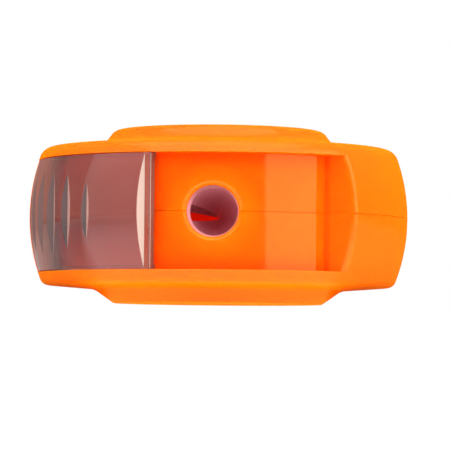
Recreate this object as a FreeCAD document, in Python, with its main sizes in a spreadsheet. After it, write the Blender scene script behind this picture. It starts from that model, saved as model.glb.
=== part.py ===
import FreeCAD, Part
import math
import os
import Sketcher
from FreeCAD import Placement, Rotation, Vector

# Round pencil sharpener with a shavings container and a turning shutter.
#
# Frame: +Z is the axis of the round body, z = 0 is the flat foot it rests on,
# and the pencil goes in along +Y through the hole that faces -Y.
# Angles round the body are in degrees from -Y, positive towards +X.

SIZES = (
    # body of revolution
    ("barrel_radius", 33.0),        # largest radius, at the middle height
    ("bulge_radius", 31.0),         # radius of the barrel's vertical curve
    ("middle_height", 15.0),        # height of the parting plane above the foot
    ("crown_half", 15.2),           # parting plane to the flat top
    ("rim_half", 11.9),             # parting plane to the rim's outer corner
    ("rim_face_rise", 0.7),         # rise of the rim's face towards the middle
    ("shoulder_radius", 18.2),      # edge of the raised flat disc
    ("crown_flare_radius", 20.1),   # foot of the upper disc's flank
    ("base_flare_radius", 21.6),    # foot of the lower disc's flank
    ("crown_rim_round", 2.4),
    ("base_rim_round", 1.6),
    ("flare_round", 2.8),
    ("crown_shoulder_round", 1.9),
    ("base_shoulder_round", 0.5),
    ("wall", 1.8),
    # the hollow for the shavings
    ("chamber_half", 10.2),         # parting plane to the chamber's flat roof
    ("dome_radius", 16.2),          # its deeper middle, under the raised disc
    ("back_low_radius", 24.9),      # the part that follows the barrel at the back
    ("back_start", 52.5),
    ("back_end", 267.7),
    # channel for the shutter
    ("channel_half", 9.77),         # parting plane to the channel's side wall
    ("floor_radius", 28.9),         # the channel's curved floor
    ("channel_start", -88.3),
    ("channel_end", 36.1),
    ("groove_half", 10.5),          # parting plane to the groove's bottom
    ("groove_low_radius", 29.0),
    ("groove_high_radius", 30.05),
    ("nook_radius", 28.4),          # valley of the finger nook
    ("nook_angle", 40.5),
    ("nook_end_angle", 45.5),       # where the nook's ramp meets the barrel
    ("nook_lip_round", 1.2),
    # openings in the channel's floor
    ("hole_radius", 4.35),
    ("hole_side", -0.18),           # the hole's centre, to the side of the bore
    ("hole_rise", 0.05),            # and above the parting plane
    ("hole_round", 0.7),
    ("port_angle", -70.5),
    ("port_width", 13.0),
    ("port_half", 8.0),
    ("port_lead_in", 1.5),          # how far the port's cut starts outside the floor
    ("port_depth", 6.0),
    ("port_round", 2.5),
    # shutter
    ("shutter_drop", 0.15),         # how far it lies below the barrel
    ("shutter_inner_radius", 29.6),
    ("shutter_half", 9.6),
    ("shutter_lead", -19.43),
    ("shutter_trail", -87.4),
    ("lip_radius", 31.35),
    ("lip_angle", -21.37),
    ("lip_round", 0.25),
    ("bevel_angle", -22.66),
    ("tongue_half", 10.35),
    ("tongue_low_radius", 29.15),
    ("tongue_high_radius", 29.9),
    ("grip_first", -39.65),
    ("grip_pitch", 8.07),
    # sharpener block, blade and screw
    ("block_front", 26.2),          # distance of its front face from the axis
    ("block_length", 24.5),
    ("block_half", 7.5),
    ("block_back_side", 6.0),
    ("bore_radius", 4.025),
    ("bore_depth", 4.5),
    ("cone_angle", 11.3),
    ("cone_tip_radius", 0.1),
    ("block_grip_radius", 24.0),
    ("block_grip_depth", 1.3),
    ("block_fit", 0.05),            # gap between the block and what holds it
    ("slot_bite", 0.25),            # how far the blade seat cuts into the cone
    ("blade_length", 23.0),
    ("blade_width", 7.4),
    ("blade_thickness", 0.6),
    ("blade_bevel", 1.5),
    ("blade_edge", 0.08),           # thickness left at the ground edge
    ("blade_setback", 0.8),
    ("blade_fit", 0.15),            # gap round the screw in the blade's hole
    ("screw_rise", 4.3),
    ("screw_radius", 1.0),
    ("screw_head_radius", 2.1),
    ("screw_head_height", 1.1),
    ("screw_head_round", 0.4),
    ("screw_slot", 0.5),
    ("screw_slot_depth", 0.6),
    ("screw_length", 5.0),
    ("screw_seat", 0.01),           # gap between the head and the blade
    ("screw_fit", 0.05),            # gap round the shank in the thread
    # ribs that hold the block
    ("rib", 1.5),
    ("rib_side", 7.6),              # how far the front ribs reach to the left
    ("seat_rise", 11.0),
    ("pad_side", 2.0),
    ("pad_length", 11.6),
    ("fence_rise", 3.0),
    ("fence_length", 19.6),
    ("post_rise", 3.5),
    ("post_length", 3.4),
    # locating pins between the two shells
    ("boss_radius", 3.0),
    ("boss_orbit", 24.3),
    ("pin_radius", 1.5),
    ("pin_height", 4.0),
    ("pin_clearance", 0.08),
    ("seam_gap", 0.05),             # half of the hairline between the shells
    ("seam_depth", 0.5),
)

# The shutter's finger grooves, from the leading end backwards.
GRIP_DEPTHS = (0.39, 0.66, 0.82, 0.82, 0.66, 0.39)
GRIP_LEADS = (1.6, 2.9, 3.4, 3.4, 2.9, 1.6)      # angles from a groove's front edge to its bottom
GRIP_TRAILS = (1.5, 1.7, 1.9, 1.9, 1.7, 1.5)     # and from its bottom to its back edge

BOSS_ANGLES = (62.0, 128.0, 192.0, 238.0)        # of the locating pins and their sockets

doc = FreeCAD.newDocument("sharpener")


class Dim:
    """A size with its value and the spreadsheet expression that gives it."""

    def __init__(self, value, text):
        self.value = float(value)
        self.text = text

    def _join(self, other, sign, value):
        return Dim(value, "(%s %s %s)" % (self.text, sign, as_dim(other).text))

    def __add__(self, other):
        return self._join(other, "+", self.value + as_dim(other).value)

    def __radd__(self, other):
        return as_dim(other) + self

    def __sub__(self, other):
        return self._join(other, "-", self.value - as_dim(other).value)

    def __rsub__(self, other):
        return as_dim(other) - self

    def __mul__(self, other):
        return self._join(other, "*", self.value * as_dim(other).value)

    def __rmul__(self, other):
        return as_dim(other) * self

    def __truediv__(self, other):
        return self._join(other, "/", self.value / as_dim(other).value)

    def __neg__(self):
        return Dim(-self.value, "(-1 * %s)" % self.text)


def as_dim(number):
    if isinstance(number, Dim):
        return number
    return Dim(number, "%.6f" % number if number >= 0 else "(%.6f)" % number)


def root(size):
    return Dim(math.sqrt(size.value), "sqrt(%s)" % size.text)


def sine(angle):
    angle = as_dim(angle)
    return Dim(math.sin(math.radians(angle.value)), "sin(%s)" % angle.text)


def cosine(angle):
    angle = as_dim(angle)
    return Dim(math.cos(math.radians(angle.value)), "cos(%s)" % angle.text)


def tangent(angle):
    return sine(angle) / cosine(angle)


class Sizes:
    """The driving dimensions, each one a named cell of the spreadsheet."""

    def __init__(self, table):
        self.sheet = doc.addObject("Spreadsheet::Sheet", "Sizes")
        for row, (name, value) in enumerate(table, start=1):
            self.sheet.set("A%d" % row, name)
            self.sheet.set("B%d" % row, str(value))
            self.sheet.setAlias("B%d" % row, name)
            setattr(self, name, Dim(value, "Sizes." + name))
        doc.recompute()


S = Sizes(SIZES)


def bind(thing, **sizes):
    """Set properties to sizes and tie them to the spreadsheet."""
    for path, size in sizes.items():
        thing.setExpression(path, as_dim(size).text)


def place(thing, x=0, y=0, z=0, turn=0):
    """Put a thing at x, y, z, turned about +Z."""
    x, y, z, turn = as_dim(x), as_dim(y), as_dim(z), as_dim(turn)
    turn_to = Rotation(Vector(0, 0, 1), turn.value)
    thing.Placement = Placement(Vector(x.value, y.value, z.value), turn_to)
    thing.setExpression("Placement.Base.x", x.text)
    thing.setExpression("Placement.Base.y", y.text)
    thing.setExpression("Placement.Base.z", z.text)
    thing.setExpression("Placement.Rotation.Angle", turn.text)


def polar(radius, angle):
    """The x and y of a point round the body."""
    return radius * sine(angle), -(radius * cosine(angle))


def barrel_at(height, shrink=0):
    """Radius of the barrel, or of a surface that lies inside it, at a height."""
    curve = S.bulge_radius - shrink
    return S.barrel_radius - S.bulge_radius + root(curve * curve - height * height)


# ---------------------------------------------------------------- primitives

def cylinder(name, radius, height, z, x=0, y=0, start=None, sweep=None):
    thing = doc.addObject("Part::Cylinder", name)
    bind(thing, Radius=radius, Height=height)
    if sweep is not None:
        bind(thing, Angle=sweep)
    place(thing, x, y, z, 0 if start is None else start - 90)
    return thing


def box(name, low, high, turn=0):
    """A box between two corners, turned about the body's axis."""
    low = [as_dim(value) for value in low]
    high = [as_dim(value) for value in high]
    thing = doc.addObject("Part::Box", name)
    bind(thing, Length=high[0] - low[0], Width=high[1] - low[1], Height=high[2] - low[2])
    turn = as_dim(turn)
    x = low[0] * cosine(turn) - low[1] * sine(turn)
    y = low[0] * sine(turn) + low[1] * cosine(turn)
    place(thing, x, y, low[2], turn)
    return thing


def cut(name, base, *tools):
    thing = doc.addObject("Part::Cut", name)
    thing.Base = base
    thing.Tool = tools[0] if len(tools) == 1 else fuse(name + "_tools", *tools)
    return thing


def fuse(name, *pieces):
    thing = doc.addObject("Part::MultiFuse", name)
    thing.Shapes = list(pieces)
    return thing


def ring(name, low_radius, high_radius, low, height, start, end):
    """Part of a flat ring round the body's axis."""
    outer = cylinder(name + "_outer", high_radius, height, low, 0, 0, start, end - start)
    inner = cylinder(name + "_inner", low_radius, height, low)
    return cut(name, outer, inner)


def rounded(name, base, radius, chosen):
    """Round the edges of base that chosen(edge) picks."""
    doc.recompute()
    thing = doc.addObject("Part::Fillet", name)
    thing.Base = base
    numbers = [i for i, edge in enumerate(base.Shape.Edges, start=1) if chosen(edge)]
    if not numbers:
        raise RuntimeError("no edges to round for " + name)
    thing.Edges = [(number, radius.value, radius.value) for number in numbers]
    doc.recompute()
    if not thing.Shape.isValid() or thing.Shape.isNull():
        raise RuntimeError("rounding failed for " + name)
    return thing


# ------------------------------------------------------------ sketched bodies

def new_body(name):
    return doc.addObject("PartDesign::Body", name)


def origin_plane(body, role):
    return next(item for item in body.Origin.OriginFeatures if item.Role == role)


def outline(body, name, role, corners):
    """A closed sketch on an origin plane of the body.

    corners is a list of (x, y) or (x, y, arc_radius), where arc_radius bends
    the edge that leaves this corner, with its centre on that edge's left if it
    is positive and on its right if it is negative.
    """
    sketch = body.newObject("Sketcher::SketchObject", name)
    sketch.AttachmentSupport = (origin_plane(body, role), [""])
    sketch.MapMode = "FlatFace"
    count = len(corners)
    points = [Vector(as_dim(c[0]).value, as_dim(c[1]).value, 0) for c in corners]
    ends = []
    for i, corner in enumerate(corners):
        start, stop = points[i], points[(i + 1) % count]
        if len(corner) == 2:
            sketch.addGeometry(Part.LineSegment(start, stop), False)
            ends.append((1, 2))
            continue
        radius = abs(corner[2].value)
        side = 1 if corner[2].value > 0 else -1
        half = (stop - start) * 0.5
        left = Vector(-half.y, half.x, 0).normalize()
        centre = start + half + left * side * math.sqrt(radius ** 2 - half.Length ** 2)
        first, last = (start, stop) if side > 0 else (stop, start)
        angles = [math.atan2(p.y - centre.y, p.x - centre.x) for p in (first, last)]
        circle = Part.Circle(centre, Vector(0, 0, 1), radius)
        sketch.addGeometry(Part.ArcOfCircle(circle, angles[0], angles[1]), False)
        ends.append((1, 2) if side > 0 else (2, 1))
    for i in range(count):
        after = (i + 1) % count
        sketch.addConstraint(Sketcher.Constraint("Coincident", i, ends[i][1], after, ends[after][0]))
    for i, corner in enumerate(corners):
        for axis, kind, size in ((-2, "DistanceX", corner[0]), (-1, "DistanceY", corner[1])):
            size = as_dim(size)
            if abs(size.value) < 1e-9:
                sketch.addConstraint(Sketcher.Constraint("PointOnObject", i, ends[i][0], axis))
                continue
            number = sketch.addConstraint(
                Sketcher.Constraint(kind, -1, 1, i, ends[i][0], size.value))
            sketch.setExpression("Constraints[%d]" % number, size.text)
        if len(corner) == 3:
            size = corner[2] if corner[2].value > 0 else -corner[2]
            number = sketch.addConstraint(Sketcher.Constraint("Radius", i, size.value))
            sketch.setExpression("Constraints[%d]" % number, size.text)
    return sketch


def revolve(name, corners, start=None, sweep=None):
    """A body turned about +Z from an outline in its radius and height."""
    body = new_body(name)
    sketch = outline(body, name + "_profile", "XZ_Plane", corners)
    turned = body.newObject("PartDesign::Revolution", name + "_turned")
    turned.Profile = sketch
    turned.ReferenceAxis = (sketch, ["V_Axis"])
    turned.Angle = 360 if sweep is None else as_dim(sweep).value
    if sweep is not None:
        bind(turned, Angle=sweep)
        place(body, turn=start - 90)
    return body


def extrude(name, corners, low, height):
    """A body pushed up along +Z from an outline seen from above."""
    body = new_body(name)
    sketch = outline(body, name + "_outline", "XY_Plane", corners)
    pad = body.newObject("PartDesign::Pad", name + "_pad")
    pad.Profile = sketch
    bind(pad, Length=height)
    place(body, z=low)
    return body


def round_rings(body, rounds):
    """Round circular edges of a body, each given as (radius, height, round)."""
    for number, (radius, height, size) in enumerate(rounds):
        doc.recompute()
        base = body.Tip
        names = []
        for i, edge in enumerate(base.Shape.Edges, start=1):
            if not isinstance(edge.Curve, Part.Circle):
                continue
            same_radius = abs(edge.Curve.Radius - radius.value) < 0.01
            same_height = abs(edge.Curve.Center.z - height.value) < 0.01
            if same_radius and same_height:
                names.append("Edge%d" % i)
        fillet = body.newObject("PartDesign::Fillet", "%s_round_%d" % (body.Name, number))
        fillet.Base = (base, names)
        bind(fillet, Radius=size)
    doc.recompute()


# --------------------------------------------------------------------- shells

class Half:
    """Heights measured from the parting plane, up or down."""

    def __init__(self, name, up):
        self.name = name
        self.up = up

    def level(self, distance):
        return S.middle_height + distance if self.up else S.middle_height - distance

    def low(self, near, far):
        return self.level(near) if self.up else self.level(far)

    def box(self, name, x, y, z):
        low = self.low(as_dim(z[0]), as_dim(z[1]))
        high = low + (as_dim(z[1]) - as_dim(z[0]))
        return box(self.name + name, (x[0], y[0], low), (x[1], y[1], high))

    def cylinder(self, name, radius, z, x=0, y=0):
        height = as_dim(z[1]) - as_dim(z[0])
        return cylinder(self.name + name, radius, height, self.low(as_dim(z[0]), as_dim(z[1])), x, y)


def puck(half):
    """The outside of one shell as a full solid."""
    if half.up:
        flare, total = S.crown_flare_radius, S.crown_half
        rim_round, shoulder_round = S.crown_rim_round, S.crown_shoulder_round
    else:
        flare, total = S.base_flare_radius, S.middle_height
        rim_round, shoulder_round = S.base_rim_round, S.base_shoulder_round
    rim_radius = barrel_at(S.rim_half)
    bend = S.bulge_radius if half.up else -S.bulge_radius
    face = half.level(S.rim_half + S.rim_face_rise)
    body = revolve(half.name + "_puck", [
        (0, half.level(0)),
        (S.barrel_radius, half.level(0), bend),
        (rim_radius, half.level(S.rim_half)),
        (flare, face),
        (S.shoulder_radius, half.level(total)),
        (0, half.level(total)),
    ])
    round_rings(body, (
        (rim_radius, half.level(S.rim_half), rim_round),
        (flare, face, S.flare_round),
        (S.shoulder_radius, half.level(total), shoulder_round),
    ))
    return body


def chamber(half):
    """The hollow for the shavings, less the ribs and bosses that stand in it."""
    dome_half = (S.crown_half if half.up else S.middle_height) - S.wall
    curve = S.bulge_radius - S.wall
    bend = curve if half.up else -curve
    core = half.cylinder("_core", S.floor_radius - S.wall, (0, S.chamber_half))
    dome = half.cylinder("_dome", S.dome_radius, (0, dome_half))
    back = revolve(half.name + "_back", [
        (S.back_low_radius, half.level(0)),
        (S.barrel_radius - S.wall, half.level(0), bend),
        (barrel_at(S.chamber_half, S.wall), half.level(S.chamber_half)),
        (S.back_low_radius, half.level(S.chamber_half)),
    ], S.back_start, S.back_end - S.back_start)
    hollow = fuse(half.name + "_hollow", core, dome, back)

    front = S.block_front + S.block_fit
    back = S.block_length - front + S.block_fit * 2
    side = S.block_back_side + S.block_fit
    behind = S.floor_radius - S.wall / 2
    roof = S.crown_half
    ribs = [
        half.box("_seat", (-S.rib_side, side + S.rib), (-S.floor_radius, -front), (0, S.seat_rise)),
        half.box("_pad", (-S.pad_side, side), (-behind, S.pad_length - behind),
                 (S.block_half + S.block_fit, roof)),
        half.box("_fence", (side, side + S.rib), (-behind, S.fence_length - behind),
                 (S.fence_rise, roof)),
        half.box("_stop", (S.rib, side + S.rib), (back, back + S.rib), (S.post_rise, roof)),
        half.box("_post", (-S.rib_side, S.rib - S.rib_side), (-behind, S.post_length - behind),
                 (S.post_rise, roof)),
    ]
    for number, angle in enumerate(BOSS_ANGLES):
        x, y = polar(S.boss_orbit, as_dim(angle))
        ribs.append(half.cylinder("_boss_%d" % number, S.boss_radius, (0, roof), x, y))
    return cut(half.name + "_chamber", hollow, *ribs)


def channel(half):
    """The curved channel for the shutter, its groove and the finger nook."""
    far = S.barrel_radius + 3
    lane = ring(half.name + "_lane", S.floor_radius, far, half.low(as_dim(0), S.channel_half),
                S.channel_half, S.channel_start, S.channel_end)
    groove_height = S.groove_half - S.channel_half + 0.5
    groove = ring(half.name + "_groove", S.groove_low_radius, S.groove_high_radius,
                  half.low(S.groove_half - groove_height, S.groove_half), groove_height,
                  S.channel_start, S.channel_end)
    corner = polar(S.floor_radius, S.channel_end)
    valley = polar(S.nook_radius, S.nook_angle)
    ramp_end = polar(S.barrel_radius, S.nook_end_angle)
    overshoot = 1.6
    past = [valley[i] + (ramp_end[i] - valley[i]) * overshoot for i in (0, 1)]
    outside = polar(far + 3, S.channel_end)
    nook = extrude(half.name + "_nook", [corner, valley, tuple(past), outside],
                   half.low(as_dim(0), S.channel_half), S.channel_half)
    return [lane, groove, nook]


def floor_openings(half):
    """The pencil hole and half of the port that the shavings are tipped from."""
    hole = doc.addObject("Part::Cylinder", half.name + "_hole")
    bind(hole, Radius=S.hole_radius, Height=S.floor_radius)
    hole.Placement = Placement(Vector(0, 0, 0), Rotation(Vector(1, 0, 0), 90))
    hole.setExpression("Placement.Base.x", S.hole_side.text)
    hole.setExpression("Placement.Base.y", (1.0 - S.block_front).text)
    hole.setExpression("Placement.Base.z", (S.middle_height + S.hole_rise).text)
    wide = S.port_width / 2
    outer = -(S.floor_radius + S.port_lead_in)
    port = box(half.name + "_port", (-wide, outer, S.middle_height - S.port_half),
               (wide, outer + S.port_depth, S.middle_height + S.port_half), S.port_angle)

    def runs_outwards(edge):
        if not isinstance(edge.Curve, Part.Line):
            return False
        run = edge.Vertexes[1].Point - edge.Vertexes[0].Point
        return abs(run.z) < 1e-6 and abs(run.Length - S.port_depth.value) < 1e-6

    port = rounded(half.name + "_port_round", port, S.port_round, runs_outwards)
    return [hole, port]


def seam(half):
    """The hairline between the shells, cut into every outside face."""
    height = S.seam_gap
    low = half.low(as_dim(0), height)
    barrel = ring(half.name + "_seam_barrel", S.barrel_radius - S.seam_depth, S.barrel_radius + 2,
                  low, height, S.nook_end_angle, 360 + S.channel_start)
    lane = ring(half.name + "_seam_lane", S.floor_radius - S.seam_depth, S.floor_radius + 1,
                low, height, S.channel_start, S.channel_end)
    return [barrel, lane]


def shell(half):
    blank = cut(half.name + "_blank", puck(half), chamber(half), *channel(half))
    opened = cut(half.name + "_opened", blank, *floor_openings(half))
    doc.recompute()

    def hole_mouth(edge):
        around = edge.BoundBox
        outside = around.YMin < -S.floor_radius.value + 0.5
        centred = abs(around.Center.x - S.hole_side.value) < 0.05
        across = S.hole_radius.value < around.XLength < S.hole_radius.value * 2 + 0.1
        return outside and centred and across

    mouth = rounded(half.name + "_mouth", opened, S.hole_round, hole_mouth)

    def nook_lip(edge):
        middle = edge.valueAt((edge.FirstParameter + edge.LastParameter) / 2)
        angle = math.degrees(math.atan2(middle.x, -middle.y))
        near = abs(angle - S.nook_end_angle.value) < 2.2
        inside = abs(middle.z - S.middle_height.value) < S.channel_half.value - 0.5
        outer = math.hypot(middle.x, middle.y) > S.lip_radius.value
        return near and outer and inside and edge.Length > 5

    lip = rounded(half.name + "_lip", mouth, S.nook_lip_round, nook_lip)
    return cut(half.name + "_seamed", lip, *seam(half))


def lower_shell():
    half = Half("lower", False)
    pins = []
    for number, angle in enumerate(BOSS_ANGLES):
        x, y = polar(S.boss_orbit, as_dim(angle))
        pins.append(cylinder("pin_%d" % number, S.pin_radius, S.pin_height + 1,
                             S.middle_height - 1, x, y))
    return fuse("lower_shell", shell(half), *pins)


def upper_shell():
    half = Half("upper", True)
    sockets = []
    for number, angle in enumerate(BOSS_ANGLES):
        x, y = polar(S.boss_orbit, as_dim(angle))
        sockets.append(cylinder("socket_%d" % number, S.pin_radius + S.pin_clearance,
                                S.pin_height + 1.5, S.middle_height - 1, x, y))
    return cut("upper_shell", shell(half), *sockets)


# -------------------------------------------------------------------- shutter

def shutter():
    high = S.barrel_radius - S.shutter_drop
    outer = barrel_at(S.shutter_half, S.shutter_drop)
    top = S.middle_height + S.shutter_half
    bottom = S.middle_height - S.shutter_half
    web = revolve("shutter_web", [
        (S.shutter_inner_radius, bottom),
        (outer, bottom, S.bulge_radius - S.shutter_drop),
        (outer, top),
        (S.shutter_inner_radius, top),
    ], S.shutter_trail, S.shutter_lead - S.shutter_trail)
    reach = S.tongue_half - S.shutter_half
    tongues = []
    for name, low in (("top", top - reach), ("bottom", bottom - reach)):
        tongues.append(ring("tongue_" + name, S.tongue_low_radius, S.tongue_high_radius, low,
                            reach * 2, S.shutter_trail, S.shutter_lead))
    whole = fuse("shutter_whole", web, *tongues)

    lip = ring("shutter_lip", S.lip_radius, S.barrel_radius + 2, bottom - 1,
               S.shutter_half * 2 + 2, S.lip_angle, S.shutter_lead + 1)
    tools = [lip, groove("bevel", polar(high, S.bevel_angle), polar(S.lip_radius, S.lip_angle),
                         polar(high, S.lip_angle))]
    for number, (depth, lead, trail) in enumerate(zip(GRIP_DEPTHS, GRIP_LEADS, GRIP_TRAILS)):
        front = S.grip_first - S.grip_pitch * number
        tools.append(groove("grip_%d" % number, polar(high, front - lead - trail),
                            polar(high - depth, front - lead), polar(high, front)))
    blank = cut("shutter_blank", whole, *tools)
    doc.recompute()
    corner = polar(S.lip_radius, S.shutter_lead)

    def leading_edge(edge):
        middle = edge.BoundBox.Center
        here = math.hypot(middle.x - corner[0].value, middle.y - corner[1].value) < 0.01
        return here and edge.BoundBox.ZLength > S.shutter_half.value

    return rounded("shutter", blank, S.lip_round, leading_edge)


def groove(name, back, bottom, front):
    """A three-sided tool that cuts a straight groove between two lines of the surface."""
    corners = [bottom]
    for edge in (front, back):
        run = [edge[i] - bottom[i] for i in (0, 1)]
        length = root(run[0] * run[0] + run[1] * run[1])
        corners.append(tuple(edge[i] + run[i] / length for i in (0, 1)))
    return extrude(name, corners, S.middle_height - S.shutter_half - 1, S.shutter_half * 2 + 2)


# ---------------------------------------------------- sharpener block and blade

def seat_line():
    """Two points of the blade seat, front and back, seen from above."""
    slope = tangent(S.cone_angle)
    start = S.block_front - S.bore_depth
    at_cone = S.bore_radius - S.slot_bite
    front_x = -(at_cone + slope * S.bore_depth)
    back_x = -(at_cone - slope * (S.block_length - S.bore_depth))
    return (front_x, -S.block_front), (back_x, S.block_length - S.block_front), start


def lay_back(thing, distance):
    """Turn a round primitive so that it runs along +Y from in front of the axis."""
    thing.Placement = Placement(Vector(0, 0, 0), Rotation(Vector(1, 0, 0), -90))
    thing.setExpression("Placement.Base.y", (-distance).text)
    thing.setExpression("Placement.Base.z", S.middle_height.text)
    return thing


def sharpener_block():
    front, back, start = seat_line()
    wide = S.block_back_side
    wedge = extrude("block_wedge", [
        front, (wide, -S.block_front), (wide, S.block_length - S.block_front), back,
    ], S.middle_height - S.block_half, S.block_half * 2)
    bore = doc.addObject("Part::Cylinder", "block_bore")
    bind(bore, Radius=S.bore_radius, Height=S.bore_depth + 1)
    lay_back(bore, S.block_front + 1)
    cone = doc.addObject("Part::Cone", "block_cone")
    cone_length = (S.bore_radius - S.cone_tip_radius) / tangent(S.cone_angle)
    bind(cone, Radius1=S.bore_radius, Radius2=S.cone_tip_radius, Height=cone_length)
    lay_back(cone, start)
    grips = []
    for name, side in (("top", 1), ("bottom", -1)):
        grip = doc.addObject("Part::Cylinder", "block_grip_" + name)
        bind(grip, Radius=S.block_grip_radius, Height=wide * 4)
        grip.Placement = Placement(Vector(0, 0, 0), Rotation(Vector(0, 1, 0), 90))
        offset = side * (S.block_half + S.block_grip_radius - S.block_grip_depth)
        grip.setExpression("Placement.Base.x", (-(wide * 2)).text)
        grip.setExpression("Placement.Base.y", (S.block_length / 2 - S.block_front).text)
        grip.setExpression("Placement.Base.z", (S.middle_height + offset).text)
        grips.append(grip)
    thread = seat_cylinder("block_thread", S.screw_radius, S.screw_length + 1, -S.screw_length)
    return cut("sharpener_block", wedge, bore, cone, thread, *grips)


def seat_frame():
    """Where the blade seat starts, its run to the back and its outward normal."""
    front, back, _ = seat_line()
    start = Vector(front[0].value, front[1].value, S.middle_height.value)
    stop = Vector(back[0].value, back[1].value, S.middle_height.value)
    along = (stop - start).normalize()
    return start, along, Vector(-along.y, along.x, 0)


def seat_point(run, rise, out=0.0):
    """A point that lies run along the seat, rise above its middle and out from it."""
    start, along, outward = seat_frame()
    return start + along * run + outward * out + Vector(0, 0, rise)


def seat_cylinder(name, radius, height, out):
    """A cylinder square to the seat, on the screw's axis."""
    thing = doc.addObject("Part::Cylinder", name)
    bind(thing, Radius=radius, Height=height)
    run = S.blade_setback.value + S.blade_length.value / 2
    point = seat_point(run, S.screw_rise.value, as_dim(out).value)
    thing.Placement = Placement(point, Rotation(Vector(0, 0, 1), seat_frame()[2]))
    return thing


def blade():
    along = seat_frame()[1]
    turn = Rotation(Vector(0, 0, 1), math.degrees(math.atan2(along.y, along.x)))
    plate = doc.addObject("Part::Box", "blade_plate")
    bind(plate, Length=S.blade_length, Width=S.blade_thickness, Height=S.blade_width)
    plate.Placement = Placement(seat_point(S.blade_setback.value, 0), turn)
    doc.recompute()
    ground = doc.addObject("Part::Chamfer", "blade_ground")
    ground.Base = plate
    edge_point = seat_point(S.blade_setback.value + 5, 0, S.blade_thickness.value)
    number, faces = ground_edge(plate.Shape, edge_point)
    bevel = (S.blade_thickness.value - S.blade_edge.value, S.blade_bevel.value)
    ground.Edges = [(number,) + (bevel if faces else bevel[::-1])]
    hole = seat_cylinder("blade_hole", S.screw_radius + S.blade_fit, S.blade_thickness + 2, -1)
    return cut("sharpener_blade", ground, hole)


def ground_edge(shape, point):
    """The blade's ground edge, and whether its first face is the narrow one."""
    vertex = Part.Vertex(point)
    for number, edge in enumerate(shape.Edges, start=1):
        if edge.distToShape(vertex)[0] < 1e-4:
            first = shape.ancestorsOfType(edge, Part.Face)[0]
            return number, abs(first.normalAt(0, 0).z) > 0.5
    raise RuntimeError("the blade has no edge there")


def blade_screw():
    seat = S.blade_thickness + S.screw_seat
    top = seat + S.screw_head_height
    facing = Rotation(Vector(0, 0, 1), seat_frame()[2])
    head = seat_cylinder("screw_head", S.screw_head_radius, S.screw_head_height, seat)

    def outer_rim(edge):
        height = (edge.BoundBox.Center - seat_point(0, 0)).dot(seat_frame()[2])
        return isinstance(edge.Curve, Part.Circle) and abs(height - top.value) < 0.01

    domed = rounded("screw_domed", head, S.screw_head_round, outer_rim)
    overlap = 0.2
    shank = seat_cylinder("screw_shank", S.screw_radius - S.screw_fit, S.screw_length,
                          seat + overlap - S.screw_length)
    slot = doc.addObject("Part::Box", "screw_slot")
    bind(slot, Length=S.screw_slot, Width=S.screw_head_radius * 3, Height=S.screw_head_height)
    run = S.blade_setback.value + S.blade_length.value / 2
    floor = seat_point(run, S.screw_rise.value, top.value - S.screw_slot_depth.value)
    corner = Vector(-S.screw_slot.value / 2, -S.screw_head_radius.value * 1.5, 0)
    slot.Placement = Placement(floor + facing.multVec(corner), facing)
    return cut("blade_screw", fuse("screw_solid", domed, shank), slot)


def check(parts):
    for item in doc.Objects:
        if "Invalid" in item.State or "Error" in item.State:
            raise RuntimeError("%s is in state %s" % (item.Name, item.State))
    for part in parts:
        if part.Shape.isNull() or not part.Shape.isValid():
            raise RuntimeError(part.Label + " has no valid shape")
        if len(part.Shape.Solids) != 1:
            raise RuntimeError(part.Label + " is not one solid")


def main():
    parts = [lower_shell(), upper_shell(), shutter(), sharpener_block(), blade(), blade_screw()]
    doc.recompute()
    check(parts)
    os.makedirs("parts", exist_ok=True)
    for part in parts:
        part.Shape.exportStep("parts/%s.step" % part.Label)
        print(part.Label, round(part.Shape.Volume, 1), "mm3")


main()
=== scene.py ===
import math

import bpy
from mathutils import Matrix, Vector


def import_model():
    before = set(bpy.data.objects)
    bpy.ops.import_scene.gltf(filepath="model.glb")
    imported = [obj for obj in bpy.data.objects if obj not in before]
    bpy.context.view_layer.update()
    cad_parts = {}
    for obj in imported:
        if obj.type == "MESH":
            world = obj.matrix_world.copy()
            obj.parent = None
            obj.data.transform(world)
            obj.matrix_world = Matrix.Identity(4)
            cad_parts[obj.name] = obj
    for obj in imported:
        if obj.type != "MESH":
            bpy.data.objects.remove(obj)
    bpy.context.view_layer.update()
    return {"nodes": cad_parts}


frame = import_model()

# Round pencil sharpener with a shavings container. All lengths are in metres,
# in the part's own frame: +Z up, the pencil hole faces -Y.

scene = bpy.context.scene
nodes = frame["nodes"]
MM = 0.001

# Sizes of the part that its finishes and its painted light and shade follow
MIDDLE = 15.0 * MM            # height of the parting plane and of the pencil hole
CHANNEL_FLOOR = 28.9 * MM     # radius of the channel's curved floor
BLOCK_FRONT = -26.2 * MM      # Y of the block's front face

# Where the painted light and shade fade: the first length is inside the place, the second is
# outside
FRONT_FADE = (-16.5 * MM, -14.5 * MM)                              # Y of the front part
HALO_FADE = (4.5 * MM, 8.5 * MM)                                   # radius round the hole
CHANNEL_FADE = (CHANNEL_FLOOR + 0.1 * MM, CHANNEL_FLOOR + 0.5 * MM)
CHANNEL_SIDE_FADE = (9.5 * MM, 9.9 * MM)                           # half of its height
BLOCK_FRONT_FADE = (BLOCK_FRONT + 0.05 * MM, BLOCK_FRONT + 0.1 * MM)
CORNER_REACH = 3.5 * MM       # how near a wall closes in the channel's floor, for its painted shade

# Light
ORANGE_GLOSS = 0.045          # share of the orange plastic's mirror coat
TABLE_GLOW, PANEL_GLOW = 1.1, 1.2
ROOM_FRONT, ROOM_BACK, ROOM_TOP = 0.06, 0.28, 0.7
LIGHT_DISTANCE = 0.9


# ------------------------------------------------------------------ node tools

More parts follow.
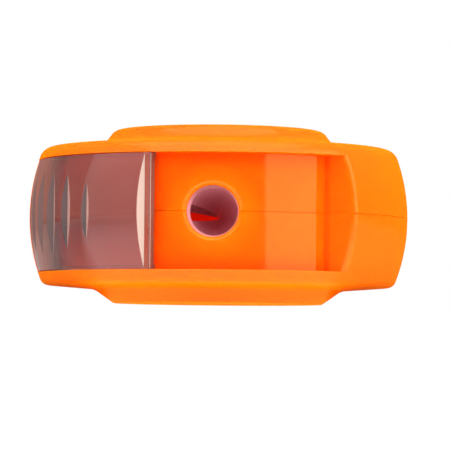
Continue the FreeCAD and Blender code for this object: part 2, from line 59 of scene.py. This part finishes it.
class Graph:
    """A small helper that adds linked nodes to a material or a world."""

    def __init__(self, owner):
        owner.use_nodes = True
        self.tree = owner.node_tree
        self.tree.nodes.clear()

    def add(self, kind, settings=None, **inputs):
        """A new node. _0 feeds its first socket, and Base_Color the socket of that name."""
        node = self.tree.nodes.new(kind)
        for name, value in (settings or {}).items():
            setattr(node, name, value)
        for name, value in inputs.items():
            key = int(name[1:]) if name[0] == "_" else name.replace("_", " ")
            self.feed(node.inputs[key], value)
        return node

    def feed(self, socket, value):
        """Link another node's output, or set a constant on the socket itself."""
        if isinstance(value, bpy.types.NodeSocket):
            self.tree.links.new(value, socket)
        elif socket.type == "RGBA":
            socket.default_value = (*value, 1.0)
        else:
            socket.default_value = value

    def coords(self):
        return self.add("ShaderNodeTexCoord").outputs["Object"]

    def split(self, vector):
        return self.add("ShaderNodeSeparateXYZ", Vector=vector).outputs

    def math(self, operation, a, b=0.0):
        return self.add("ShaderNodeMath", {"operation": operation}, _0=a, _1=b).outputs[0]

    def product(self, first, *others):
        for other in others:
            first = self.math("MULTIPLY", first, other)
        return first

    def length(self, a, b):
        """Length of the vector (a, b)."""
        squares = [self.math("POWER", side, 2.0) for side in (a, b)]
        return self.math("SQRT", self.math("ADD", *squares))

    def vector(self, operation, a, b=None):
        node = self.add("ShaderNodeVectorMath", {"operation": operation}, _0=a)
        if b is not None:
            self.feed(node.inputs[1], b)
        return node.outputs["Value" if operation in ("LENGTH", "DOT_PRODUCT") else "Vector"]

    def noise(self, coords, scale, detail=2.0, roughness=0.5):
        return self.add("ShaderNodeTexNoise", Vector=coords, Scale=scale, Detail=detail,
                        Roughness=roughness).outputs["Fac"]

    def remap(self, value, low, high, to_low, to_high):
        return self.add("ShaderNodeMapRange", _0=value, _1=low, _2=high, _3=to_low,
                        _4=to_high).outputs[0]

    def vary(self, noise, to_low, to_high):
        """The usual spread of a noise, taken to another range."""
        return self.remap(noise, 0.3, 0.7, to_low, to_high)

    def tint(self, share, first, second):
        """A colour between two others."""
        return self.add("ShaderNodeMix", {"data_type": "RGBA"}, _0=share, _6=first,
                        _7=second).outputs[2]

    def bump(self, height, strength, distance, **under):
        return self.add("ShaderNodeBump", Height=height, Strength=strength, Distance=distance,
                        **under).outputs[0]

    def principled(self, **inputs):
        return self.add("ShaderNodeBsdfPrincipled", **inputs).outputs[0]

    def over(self, share, below, above):
        """One shader laid over another."""
        return self.add("ShaderNodeMixShader", _0=share, _1=below, _2=above).outputs[0]


def material(name):
    made = bpy.data.materials.new(name)
    return made, Graph(made)


# ------------------------------------------------------------------- materials

def orange_plastic():
    """Translucent orange plastic with a faint painted red glow, painted shade deeper in the
    channel and its corners, and painted light round the hole.
    """
    made, g = material("orange_plastic")
    coords = g.coords()
    x, y, z = g.split(coords)
    height = g.math("SUBTRACT", z, MIDDLE)
    grain = g.noise(coords, 5200, 3, 0.6)
    waves = g.noise(coords, 60, 2, 0.5)

    front = g.remap(y, *FRONT_FADE, 1.0, 0.0)
    painted_hole_light = g.product(g.remap(g.length(x, height), *HALO_FADE, 0.7, 0.0), front)
    channel_shade = g.product(g.remap(g.length(x, y), *CHANNEL_FADE, 1.0, 0.0),
                        g.remap(g.math("ABSOLUTE", height), *CHANNEL_SIDE_FADE, 0.8, 0.0),
                        front)
    openness = g.add("ShaderNodeAmbientOcclusion", {"samples": 8}, Distance=CORNER_REACH)
    corner_shade = g.product(g.remap(openness.outputs["AO"], 0.45, 0.95, 0.75, 0.0), channel_shade)

    colour = g.tint(waves, (0.97, 0.113, 0.001), (0.98, 0.124, 0.0015))
    for share, tone in (
            # painted shade: the channel's floor is deeper and darker than the rims
            (channel_shade, (0.97, 0.098, 0.0008)),
            (painted_hole_light, (0.99, 0.165, 0.0015)),       # painted light round the hole
            (corner_shade, (0.80, 0.045, 0.0008))):    # painted shade where the channel is closed in
        colour = g.tint(share, colour, tone)

    ripple = g.bump(waves, 0.10, 0.1 * MM)
    fine = g.bump(grain, 0.03, 0.004 * MM, Normal=ripple)
    # The red emission is a painted glow that stands in for light passing through the shells
    # into hollows.
    body = g.principled(
        Base_Color=colour, Roughness=g.vary(waves, 0.30, 0.40), Normal=fine,
        IOR=1.5, Specular_IOR_Level=0.0,
        Emission_Color=(1.0, 0.03, 0.0), Emission_Strength=0.10,
        Subsurface_Weight=1.0, Subsurface_Radius=(1.0, 0.20, 0.03), Subsurface_Scale=3.5 * MM)
    gloss = g.add("ShaderNodeBsdfGlossy", Color=(1.0, 0.74, 0.25),
                  Roughness=g.vary(grain, 0.08, 0.14), Normal=fine).outputs[0]
    g.add("ShaderNodeOutputMaterial", Surface=g.over(ORANGE_GLOSS, body, gloss))
    return made


def smoked_plastic():
    """Clear smoked plastic. Diffuse layers mixed in by place paint the lit orange seen through
    it, with painted highlights and dark reflections on the flats across its curve.
    """
    made, g = material("smoked_clear_plastic")
    coords = g.coords()
    flow = g.noise(coords, 90, 2, 0.5)
    shader = g.principled(Base_Color=(1.0, 1.0, 1.0), Roughness=g.vary(flow, 0.01, 0.04),
                          IOR=1.58, Transmission_Weight=1.0,
                          Normal=g.bump(flow, 0.05, 0.1 * MM))
    for share, tone in painted_see_through(g, coords):
        see_through_layer = g.principled(Base_Color=tone, Roughness=g.vary(flow, 0.4, 0.5),
                            Specular_IOR_Level=0.15)
        shader = g.over(share, shader, see_through_layer)
    for share, tone in painted_light_on_flats(g, coords):
        flat = g.principled(Base_Color=tone, Roughness=g.vary(flow, 0.3, 0.4))
        shader = g.over(share, shader, flat)
    absorb = g.add("ShaderNodeVolumeAbsorption", Density=450.0, Color=(0.61, 0.38, 0.38))
    g.add("ShaderNodeOutputMaterial", Surface=shader, Volume=absorb.outputs[0])
    return made


def painted_see_through(g, coords):
    """Share and colour of the painted see-through tones on the shutter's smooth curve: the lit
    orange behind it, painted in.
    """
    height = g.math("SUBTRACT", g.split(coords)[2], MIDDLE)
    middle = g.product(g.remap(height, -2.6 * MM, -0.6 * MM, 0.0, 0.18),
                       g.remap(height, 3.0 * MM, 9.0 * MM, 1.0, 0.0))
    # The sine of the angle round the body, from -Y towards +X
    level = g.vector("MULTIPLY", coords, (1, 1, 0))
    sine = g.split(g.vector("NORMALIZE", level))[0]
    trailing_end = g.remap(sine, -0.82, -0.93, 0.0, 0.62)
    lip = g.remap(sine, -0.372, -0.364, 0.0, 0.22)
    return (
        (middle, (0.46, 0.160, 0.125)),
        (trailing_end, (0.30, 0.088, 0.056)),
        (lip, (0.45, 0.22, 0.16)))


def painted_light_on_flats(g, coords):
    """Share and colour of the painted light and shade on each kind of flat, told by how it
    leans round the body.

    A lean of 1 faces the leading end, and -1 the trailing end."""
    normal = g.add("ShaderNodeTexCoord").outputs["Normal"]
    along = g.vector("NORMALIZE", g.vector("CROSS_PRODUCT", (0, 0, 1), coords))
    lean = g.vector("DOT_PRODUCT", along, normal)
    soft = 0.02
    flats = []
    for low, high, tone, share in (
            (0.80, 0.95, (0.50, 0.36, 0.29), 0.88),      # painted highlight on the bevel behind the lip
            (0.97, 1.10, (0.15, 0.07, 0.05), 0.60),      # painted dark tone on the shaded leading end
            (0.32, 0.70, (0.085, 0.058, 0.058), 0.75),   # painted dark reflection on the long flats of the grips
            (-0.50, -0.15, (0.62, 0.40, 0.34), 0.40)):   # painted highlight on their short flats
        above = g.remap(lean, low - soft, low + soft, 0.0, share)
        below = g.remap(lean, high - soft, high + soft, 1.0, 0.0)
        flats.append((g.product(above, below), tone))
    return flats


def cast_metal():
    """Cast and turned metal, tinted pink as painted red light from the shells. It glows a
    little, a painted glow for that red light.
    """
    made, g = material("cast_metal")
    coords = g.coords()
    _, y, z = g.split(coords)
    centred = g.vector("SUBTRACT", coords, (0, 0, MIDDLE))
    rings = g.add("ShaderNodeTexWave", {"wave_type": "BANDS", "bands_direction": "Y"},
                  Vector=centred, Scale=1100.0, Distortion=1.0)
    speckle = g.noise(coords, 1800, 4, 0.6)
    lathe = g.bump(rings.outputs["Fac"], 0.15, 0.03 * MM)
    cast = g.bump(speckle, 0.2, 0.04 * MM, Normal=lathe)
    # Painted shade: the top of the block's front face is darker, under the hole's edge.
    face = g.remap(y, *BLOCK_FRONT_FADE, 1.0, 0.0)
    upper = g.remap(z, MIDDLE + 1.0 * MM, MIDDLE + 3.5 * MM, 0.0, 0.75)
    face_shade = g.tint(g.product(face, upper), (0.58, 0.32, 0.37), (0.20, 0.09, 0.10))
    shader = g.principled(Base_Color=face_shade, Roughness=g.vary(speckle, 0.42, 0.58), Normal=cast,
                          Emission_Color=(1.0, 0.10, 0.12), Emission_Strength=0.06,
                          Metallic=0.2)
    g.add("ShaderNodeOutputMaterial", Surface=shader)
    return made


def steel(name, tone, low, high):
    """Ground steel with fine lines along Y, and roughness from low to high."""
    made, g = material(name)
    stretched = g.add("ShaderNodeMapping", Vector=g.coords(), Scale=(1.0, 0.06, 1.0))
    lines = g.noise(stretched.outputs[0], 9000, 3, 0.6)
    shader = g.principled(Base_Color=(tone, tone, tone * 1.02), Metallic=1.0,
                          Roughness=g.vary(lines, low, high),
                          Normal=g.bump(lines, 0.25, 0.008 * MM))
    g.add("ShaderNodeOutputMaterial", Surface=shader)
    return made


def dress(node, made):
    for slot in nodes[node].material_slots:
        slot.material = made


orange = orange_plastic()
dress("lower_shell", orange)
dress("upper_shell", orange)
dress("shutter", smoked_plastic())
dress("sharpener_block", cast_metal())
dress("sharpener_blade", steel("blade_steel", 0.62, 0.18, 0.34))
dress("blade_screw", steel("screw_steel", 0.55, 0.24, 0.42))


# ----------------------------------------------------------------------- stage

def floor():
    """A pale table top, seen from above only, because the camera is a little below it."""
    bpy.ops.mesh.primitive_plane_add(size=3.0, location=(0, 0, -0.2 * MM))
    plane = bpy.context.object
    plane.name = "floor"
    made, g = material("pale_table")
    coords = g.coords()
    grey = g.vary(g.noise(coords, 14, 2, 0.5), 0.50, 0.53)
    shade = g.add("ShaderNodeCombineColor", _0=grey, _1=grey, _2=grey).outputs[0]
    top = g.principled(Base_Color=shade, Roughness=0.6, Emission_Color=(1, 1, 1),
                       Emission_Strength=table_glow(g, coords))
    under = g.add("ShaderNodeBsdfTransparent").outputs[0]
    below = g.add("ShaderNodeNewGeometry").outputs["Backfacing"]
    g.add("ShaderNodeOutputMaterial", Surface=g.over(below, top, under))
    plane.data.materials.append(made)


def table_glow(g, coords):
    """White light from the table in front of the object, weaker further away."""
    x, y, _ = g.split(coords)
    left = half_table(g, x, y, 136, -11.2 * MM, -27.8 * MM)
    right = half_table(g, x, y, 31, 7.7 * MM, -27.8 * MM)
    glow = g.remap(g.math("ADD", left, right), 0.0, 1.0, TABLE_GLOW, PANEL_GLOW)
    near = g.remap(g.vector("LENGTH", coords), 0.07, 0.26, 1.0, 0.12)
    # The glow ends under the front rim, and further back under the foot
    under_foot = g.remap(g.math("ABSOLUTE", x), 18.5 * MM, 22.5 * MM, 42.0 * MM, 0.0)
    ahead = g.remap(g.math("SUBTRACT", y, under_foot), -27.0 * MM, -21.0 * MM, 1.0, 0.0)
    return g.product(glow, near, ahead)


def half_table(g, x, y, angle, start_x, start_y):
    """1 on the side of a line that the angle points to, from +X towards +Y, and 0 behind it."""
    across = math.radians(angle)
    run_x = g.product(g.math("SUBTRACT", x, start_x), math.cos(across))
    run_y = g.product(g.math("SUBTRACT", y, start_y), math.sin(across))
    return g.remap(g.math("ADD", run_x, run_y), -1.5 * MM, 1.5 * MM, 0.0, 1.0)


def world():
    """White where the camera sees it, and for the light a room that is dimmer in front."""
    made = bpy.data.worlds.new("studio")
    scene.world = made
    g = Graph(made)
    seen = g.add("ShaderNodeLightPath").outputs["Is Camera Ray"]
    _, back, up = g.split(g.add("ShaderNodeTexCoord").outputs["Generated"])
    walls = g.remap(back, -0.7, 0.0, ROOM_FRONT, ROOM_BACK)
    ceiling = g.remap(up, 0.15, 0.6, 0.0, ROOM_TOP)
    strength = g.add("ShaderNodeMix", {"data_type": "FLOAT"}, _0=seen,
                     _2=g.math("ADD", walls, ceiling), _3=1.0)
    shade = g.add("ShaderNodeBackground", Color=(1, 1, 1), Strength=strength.outputs[0])
    g.add("ShaderNodeOutputWorld", Surface=shade.outputs[0])


def softbox(name, azimuth, elevation, width, height, power):
    """An area light that faces the object. Azimuth is from -Y towards +X."""
    light = bpy.data.lights.new(name, "AREA")
    light.shape = "RECTANGLE"
    light.size = width
    light.size_y = height
    light.energy = power
    lamp = bpy.data.objects.new(name, light)
    scene.collection.objects.link(lamp)
    a, e = math.radians(azimuth), math.radians(elevation)
    away = Vector((math.sin(a) * math.cos(e), -math.cos(a) * math.cos(e), math.sin(e)))
    lamp.location = Vector((0, 0, MIDDLE)) + away * LIGHT_DISTANCE
    lamp.rotation_euler = away.to_track_quat("Z", "Y").to_euler()
    return lamp


def camera():
    """Just under the table's height, a little to the right, looking slightly up."""
    distance, drop = 556 * MM, 8.6 * MM
    azimuth = math.radians(1.68)
    heading = azimuth - math.radians(0.12)
    pitch, roll = math.radians(2.31), math.radians(0.52)
    lens = bpy.data.cameras.new("camera")
    lens.sensor_width = 36.0
    lens.lens = 254.7
    lens.clip_start = 0.01
    eye = bpy.data.objects.new("camera", lens)
    scene.collection.objects.link(eye)
    eye.location = (distance * math.sin(azimuth), -distance * math.cos(azimuth), -drop)
    turn = Matrix.Rotation(heading, 4, "Z") @ Matrix.Rotation(math.radians(90) + pitch, 4, "X")
    turn = turn @ Matrix.Rotation(roll, 4, "Z")
    eye.rotation_euler = turn.to_euler()
    scene.camera = eye


floor()
world()
softbox("key_left", -66, 12, 0.73, 0.95, 1.5)
softbox("fill_left", -66, 12, 0.73, 0.95, 5.5).visible_glossy = False
softbox("key_right", 61, 10, 0.95, 0.95, 7.4)
softbox("top", 0, 62, 1.4, 1.4, 13.5)
camera()
scene.view_settings.view_transform = "Standard"
